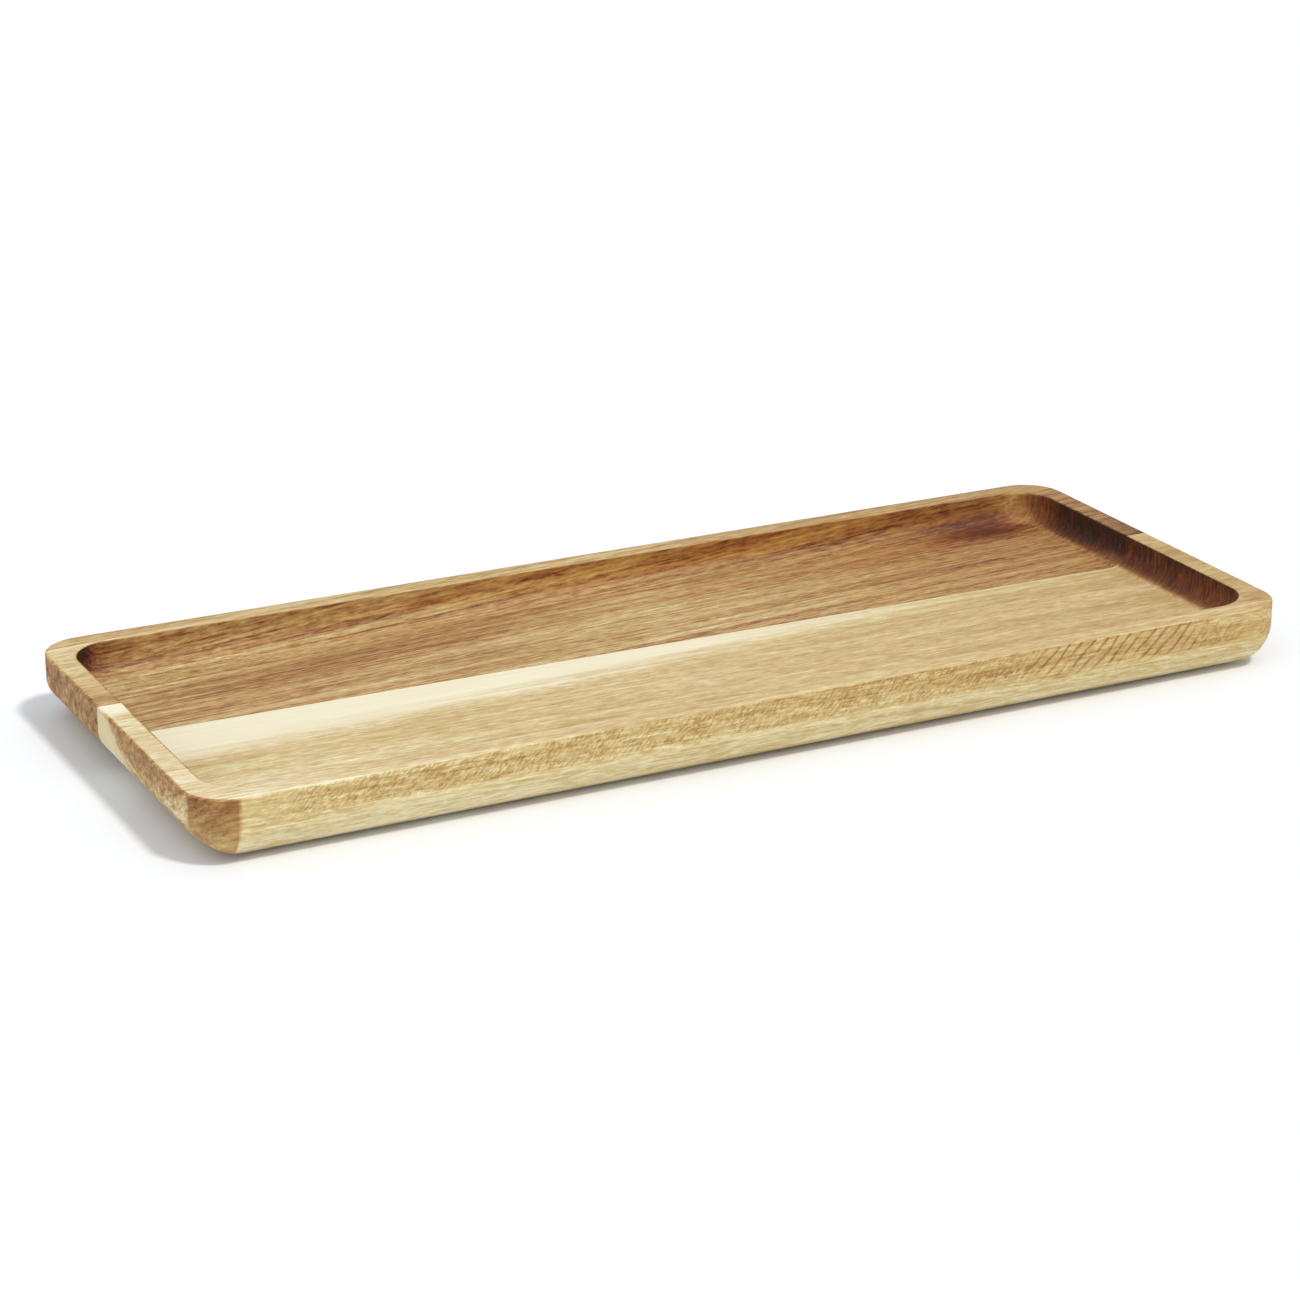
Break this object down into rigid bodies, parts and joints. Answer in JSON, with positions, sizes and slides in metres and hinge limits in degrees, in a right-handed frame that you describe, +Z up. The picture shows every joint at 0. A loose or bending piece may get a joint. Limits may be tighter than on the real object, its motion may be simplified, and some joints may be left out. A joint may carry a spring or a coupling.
{
  "type": "serving tray",
  "caption": "Long shallow rectangular wooden serving tray with rounded corners, a milled well and a rounded underside, glued up edge to edge from a dark and a pale board.",
  "frame": {"origin": "centre of the flat underside, on the surface that the tray stands on", "axes": "+X along the tray's length, +Y across it towards the darker board, +Z up out of the well"},
  "size_m": [0.35, 0.14, 0.02],
  "materials": {
    "heartwood": "satin oiled, brown streaked heartwood",
    "sapwood": "satin oiled, pale yellow-tan wood with a cream sapwood band",
    "glue": "thin cured film of clear amber wood glue"
  },
  "bodies": {
    "root": {"rear_stave": "heartwood", "front_stave": "sapwood", "glue_line": "glue"}
  },
  "joints": []
}
